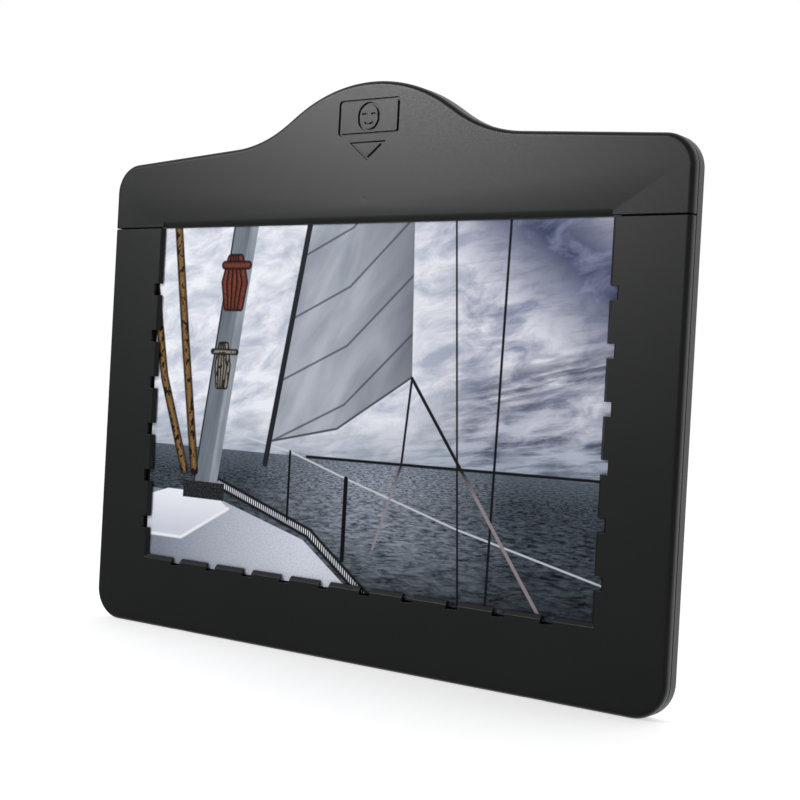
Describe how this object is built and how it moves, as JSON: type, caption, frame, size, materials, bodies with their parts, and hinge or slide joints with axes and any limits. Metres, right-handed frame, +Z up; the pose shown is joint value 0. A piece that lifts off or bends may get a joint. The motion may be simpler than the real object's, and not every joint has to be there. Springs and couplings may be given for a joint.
{
  "type": "print holder tray",
  "caption": "Flat upright holder for one landscape photo print, with a hinged notched window frame, a sprung backing plate and a raised handle hump.",
  "frame": {"origin": "under the middle of the holder, on the surface that its bottom edge stands on", "axes": "+X to the viewer's right, +Y from the window to the back, +Z up from the bottom edge to the handle"},
  "size_m": [0.19, 0.0062, 0.1565],
  "materials": {
    "shell": "black, fine spark-eroded grain",
    "plate": "dark grey, smooth",
    "print": "satin photo paper with a printed sea view",
    "steel": "bright drawn steel",
    "screw": "black zinc plate",
    "spring": "phosphor bronze strip",
    "magnet": "nickel plate"
  },
  "bodies": {
    "tray": {"rear_tray": "shell", "handle_cover": "shell", "catch_magnet_left": "magnet", "catch_magnet_right": "magnet", "plate_spring_bottom_left": "spring", "plate_spring_bottom_right": "spring", "plate_spring_top_left": "spring", "plate_spring_top_right": "spring", "cover_screw_1": "screw", "cover_screw_2": "screw", "cover_screw_3": "screw", "cover_screw_4": "screw", "cover_screw_5": "screw", "photo_print": "print"},
    "frame": {"front_frame": "shell", "hinge_pin_left": "steel", "hinge_pin_right": "steel", "catch_keeper_left": "steel", "catch_keeper_right": "steel"},
    "plate": {"pressure_plate": "plate"}
  },
  "joints": [
    {"name": "frame_hinge", "type": "hinge", "parent": "tray", "child": "frame", "pos_m": [0, -0.0015, 0.0016], "axis": [1, 0, 0], "range_deg": [0, 110]},
    {"name": "plate_slide", "type": "slide", "parent": "tray", "child": "plate", "axis": [0, 1, 0], "range_m": [0, 0.0008], "stiffness_N_per_m": 150, "springref_m": -0.002, "deforming": ["plate_spring_bottom_left", "plate_spring_bottom_right", "plate_spring_top_left", "plate_spring_top_right"]}
  ]
}
